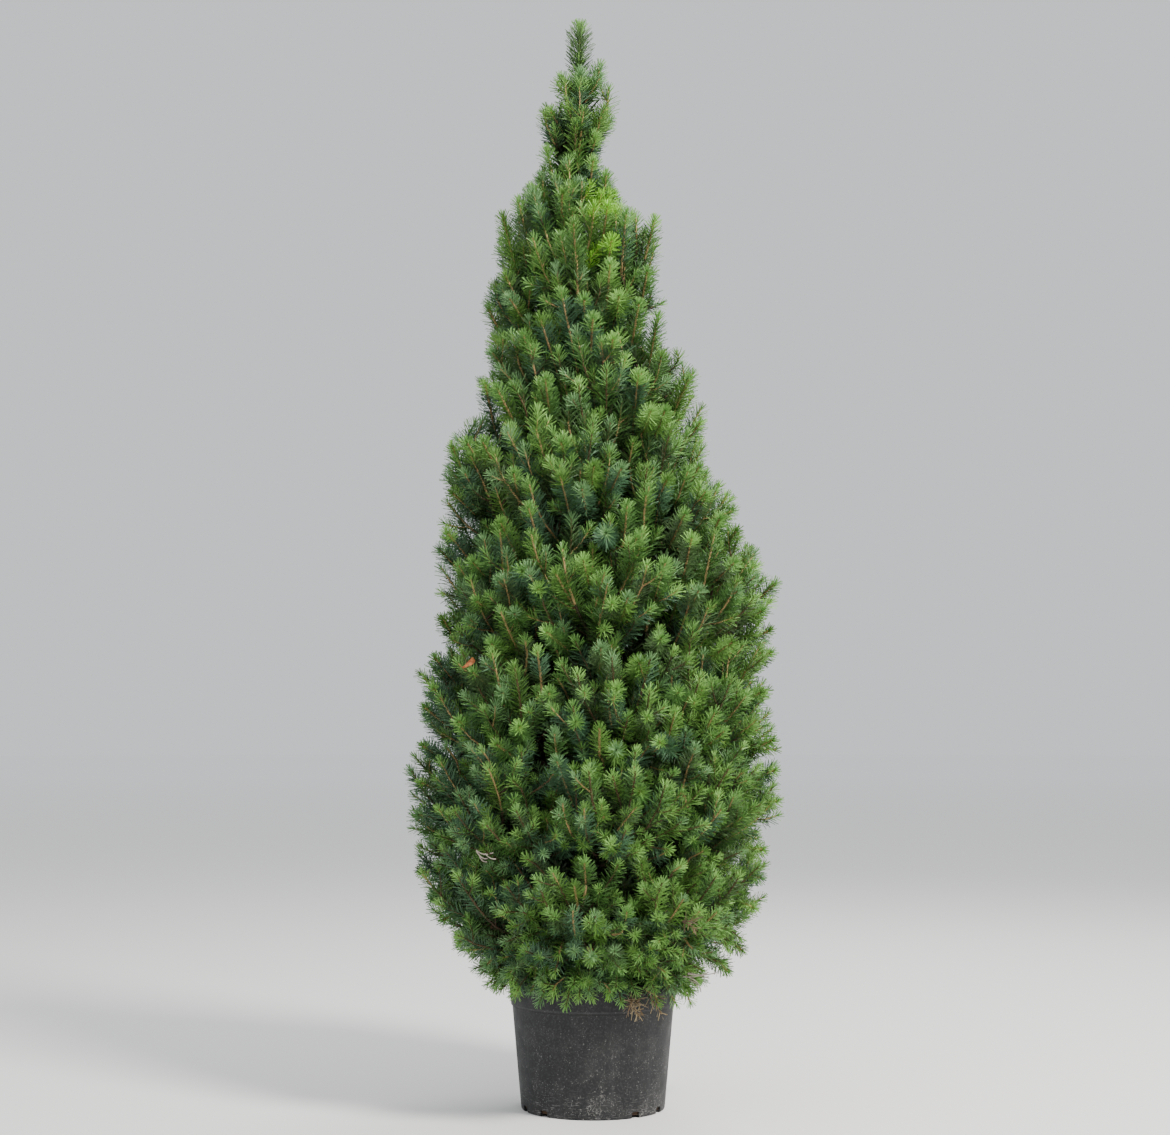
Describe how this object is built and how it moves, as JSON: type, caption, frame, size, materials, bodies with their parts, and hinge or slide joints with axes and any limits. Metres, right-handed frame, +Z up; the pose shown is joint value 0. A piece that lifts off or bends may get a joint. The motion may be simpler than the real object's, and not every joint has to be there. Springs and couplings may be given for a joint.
{
  "type": "potted alberta spruce",
  "caption": "Dense narrow cone of short-needled spruce boughs round one straight trunk, growing in a tapered plastic nursery pot filled with soil.",
  "frame": {"origin": "centre of the pot's flat underside, at ground level", "axes": "+Z up along the pot's axis, towards the tip of the plant; -Y towards the viewer of the side shown best, +X to that viewer's right"},
  "size_m": [0.4234, 0.4291, 1.25],
  "materials": {
    "pot_plastic": "matt charcoal plastic with pale dust, specks and scratches",
    "potting_soil": "dark moist potting soil",
    "bark": "rough grey-brown bark",
    "needles_1": "older needles, deep bluish green",
    "needles_2": "needles, mid green",
    "needles_3": "young needles, bright green"
  },
  "bodies": {
    "root": {"pot": "pot_plastic", "soil": "potting_soil", "trunk": "bark", "foliage_1_1": "needles_1", "foliage_1_2": "needles_2", "foliage_1_3": "needles_3", "foliage_1_4": "needles_1", "foliage_1_5": "needles_2", "foliage_1_6": "needles_3", "foliage_1_7": "needles_1", "foliage_2_1": "needles_2", "foliage_2_2": "needles_3", "foliage_2_3": "needles_1", "foliage_2_4": "needles_2", "foliage_2_5": "needles_3", "foliage_2_6": "needles_1", "foliage_2_7": "needles_2", "foliage_3_1": "needles_3", "foliage_3_2": "needles_1", "foliage_3_3": "needles_2", "foliage_3_4": "needles_3", "foliage_3_5": "needles_1", "foliage_3_6": "needles_2", "foliage_3_7": "needles_3", "foliage_4_1": "needles_1", "foliage_4_2": "needles_2", "foliage_4_3": "needles_3", "foliage_4_4": "needles_1", "foliage_4_5": "needles_2", "foliage_4_6": "needles_3", "foliage_5_1": "needles_2", "foliage_5_2": "needles_3", "foliage_5_3": "needles_1", "foliage_5_4": "needles_2", "foliage_5_5": "needles_3", "foliage_5_6": "needles_1", "foliage_6_1": "needles_3", "foliage_6_2": "needles_1", "foliage_6_3": "needles_2", "foliage_6_4": "needles_3", "foliage_6_5": "needles_1", "foliage_7_1": "needles_1", "foliage_7_2": "needles_2", "foliage_7_3": "needles_3", "foliage_7_4": "needles_1", "foliage_7_5": "needles_2", "foliage_8_1": "needles_2", "foliage_8_2": "needles_3", "foliage_8_3": "needles_1", "foliage_8_4": "needles_2", "foliage_9_1": "needles_3", "foliage_9_2": "needles_1", "foliage_9_3": "needles_2", "foliage_top": "needles_3"}
  },
  "joints": []
}
